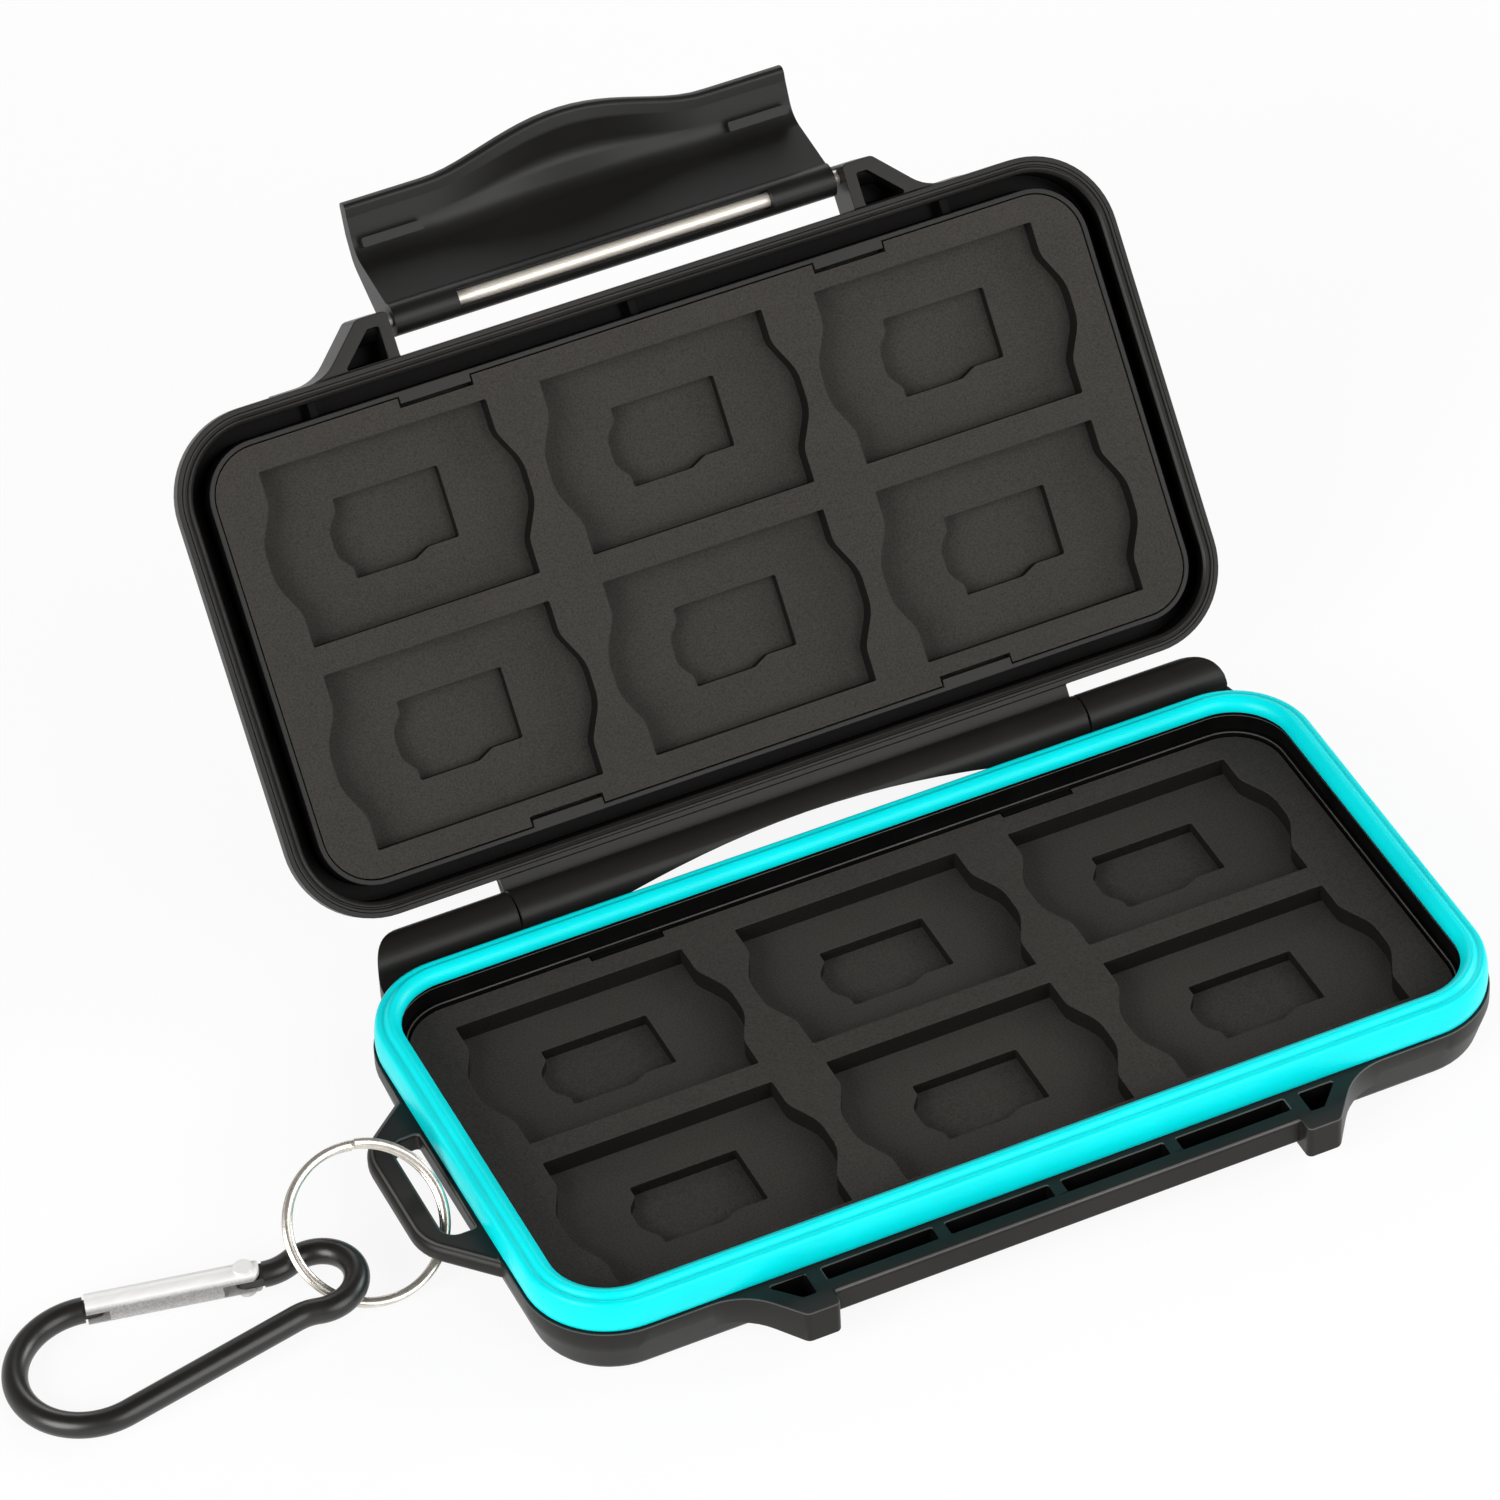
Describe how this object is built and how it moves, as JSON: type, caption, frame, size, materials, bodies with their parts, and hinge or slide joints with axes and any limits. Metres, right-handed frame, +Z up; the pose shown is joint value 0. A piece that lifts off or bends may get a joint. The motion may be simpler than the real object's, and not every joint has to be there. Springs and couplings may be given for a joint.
{
  "type": "memory card case",
  "caption": "Hinged hard case for memory cards with foam pockets in both halves, a rubber seal, a wide front latch, and a split ring with a carabiner.",
  "frame": {"origin": "middle of the flat underside of the base", "axes": "+X along the length of the case, away from the lanyard loop; +Y from the latch side to the hinge; +Z up"},
  "size_m": [0.2001, 0.1532, 0.082],
  "materials": {
    "shell": "satin moulded, fine texture",
    "seal": "smooth satin silicone",
    "foam": "closed-cell foam sheet, matte and finely speckled",
    "steel": "drawn, bright",
    "ring_steel": "nickel plated, bright",
    "carabiner": "black anodised, glossy",
    "gate": "satin silver"
  },
  "bodies": {
    "base": {"base_shell": "shell", "seal_gasket": "seal", "base_card_foam": "foam", "base_micro_foam": "foam", "base_backing_foam": "foam", "hinge_pin_left": "steel", "hinge_pin_right": "steel"},
    "lid": {"lid_shell": "shell", "lid_card_foam": "foam", "lid_micro_foam": "foam", "lid_backing_foam": "foam", "latch_pin": "steel"},
    "latch_flap": {"latch": "shell"},
    "ring": {"split_ring": "ring_steel"},
    "carabiner": {"carabiner_body": "carabiner"},
    "gate": {"carabiner_gate": "gate", "gate_rivet": "steel", "gate_spring": "steel"}
  },
  "joints": [
    {"name": "lid_hinge", "type": "hinge", "parent": "base", "child": "lid", "pos_m": [0, 0.03992, 0.01053], "axis": [1, 0, 0], "range_deg": [0, 129.2]},
    {"name": "latch_hinge", "type": "hinge", "parent": "lid", "child": "latch_flap", "pos_m": [0, 0.09408, 0.06923], "axis": [1, 0, 0], "range_deg": [0, 118]},
    {"name": "ring_swing", "type": "hinge", "parent": "base", "child": "ring", "pos_m": [-0.0746, 0, 0.0072], "axis": [0, 1, 0], "range_deg": [-30, 35]},
    {"name": "carabiner_slide_round", "type": "hinge", "parent": "ring", "child": "carabiner", "pos_m": [-0.081, -0.0013, 0.008], "axis": [0, -0.6252, 0.7804], "range_deg": [-20, 30]},
    {"name": "gate_pivot", "type": "hinge", "parent": "carabiner", "child": "gate", "pos_m": [-0.09743, 0.00002, 0.00453], "axis": [-0.0854, 0, 0.9963], "range_deg": [0, 26], "stiffness_Nm_per_rad": 0.02}
  ]
}
